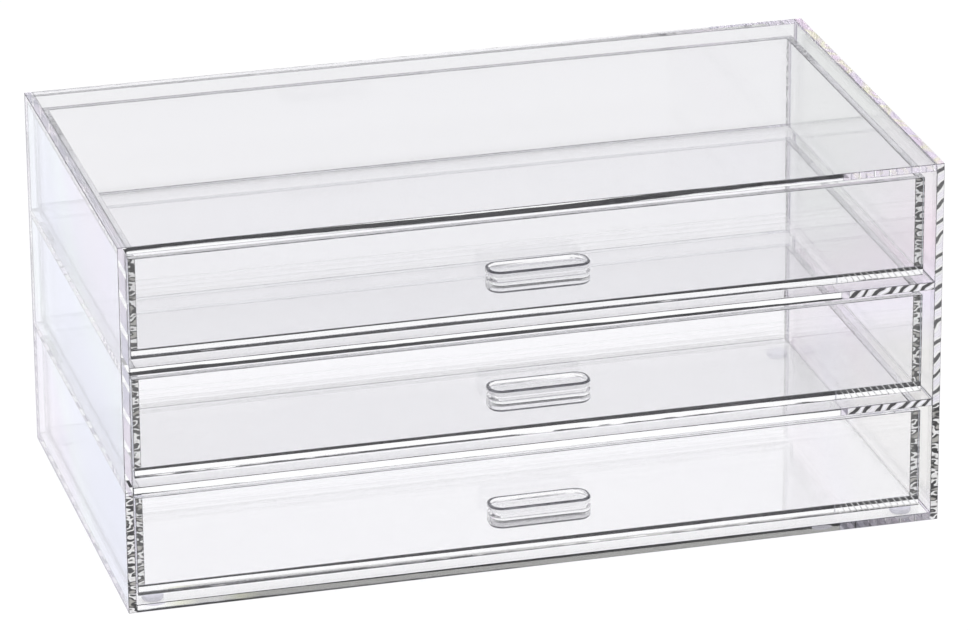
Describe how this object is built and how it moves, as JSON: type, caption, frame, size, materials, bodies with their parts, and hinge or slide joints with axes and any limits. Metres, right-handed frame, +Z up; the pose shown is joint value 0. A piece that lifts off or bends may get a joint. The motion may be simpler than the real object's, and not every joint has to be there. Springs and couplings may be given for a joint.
{
  "type": "drawer organizer",
  "caption": "Low clear box with stacked wide drawers that slide out to the front, each with a small rounded pull, on round feet.",
  "frame": {"origin": "on the table, at the middle of the footprint between the handles' front and the back of the case", "axes": "+X to the right seen from the front, +Y to the back, +Z up; the drawers open towards -Y"},
  "size_m": [0.305, 0.174, 0.1422],
  "materials": {
    "clear_sheet": "polished clear acrylic",
    "clear_handle": "polished clear acrylic",
    "bumper": "clear soft plastic"
  },
  "bodies": {
    "case": {"case_left_side": "clear_sheet", "case_right_side": "clear_sheet", "case_back": "clear_sheet", "case_top": "clear_sheet", "case_bottom": "clear_sheet", "upper_shelf": "clear_sheet", "lower_shelf": "clear_sheet", "foot_front_left": "bumper", "foot_front_right": "bumper", "foot_rear_left": "bumper", "foot_rear_right": "bumper"},
    "top_drawer": {"top_drawer_front": "clear_sheet", "top_drawer_back": "clear_sheet", "top_drawer_left": "clear_sheet", "top_drawer_right": "clear_sheet", "top_drawer_floor": "clear_sheet", "top_drawer_handle": "clear_handle"},
    "middle_drawer": {"middle_drawer_front": "clear_sheet", "middle_drawer_back": "clear_sheet", "middle_drawer_left": "clear_sheet", "middle_drawer_right": "clear_sheet", "middle_drawer_floor": "clear_sheet", "middle_drawer_handle": "clear_handle"},
    "bottom_drawer": {"bottom_drawer_front": "clear_sheet", "bottom_drawer_back": "clear_sheet", "bottom_drawer_left": "clear_sheet", "bottom_drawer_right": "clear_sheet", "bottom_drawer_floor": "clear_sheet", "bottom_drawer_handle": "clear_handle"}
  },
  "joints": [
    {"name": "top_drawer_slide", "type": "slide", "parent": "case", "child": "top_drawer", "axis": [0, -1, 0], "range_m": [0, 0.14]},
    {"name": "middle_drawer_slide", "type": "slide", "parent": "case", "child": "middle_drawer", "axis": [0, -1, 0], "range_m": [0, 0.14]},
    {"name": "bottom_drawer_slide", "type": "slide", "parent": "case", "child": "bottom_drawer", "axis": [0, -1, 0], "range_m": [0, 0.14]}
  ]
}
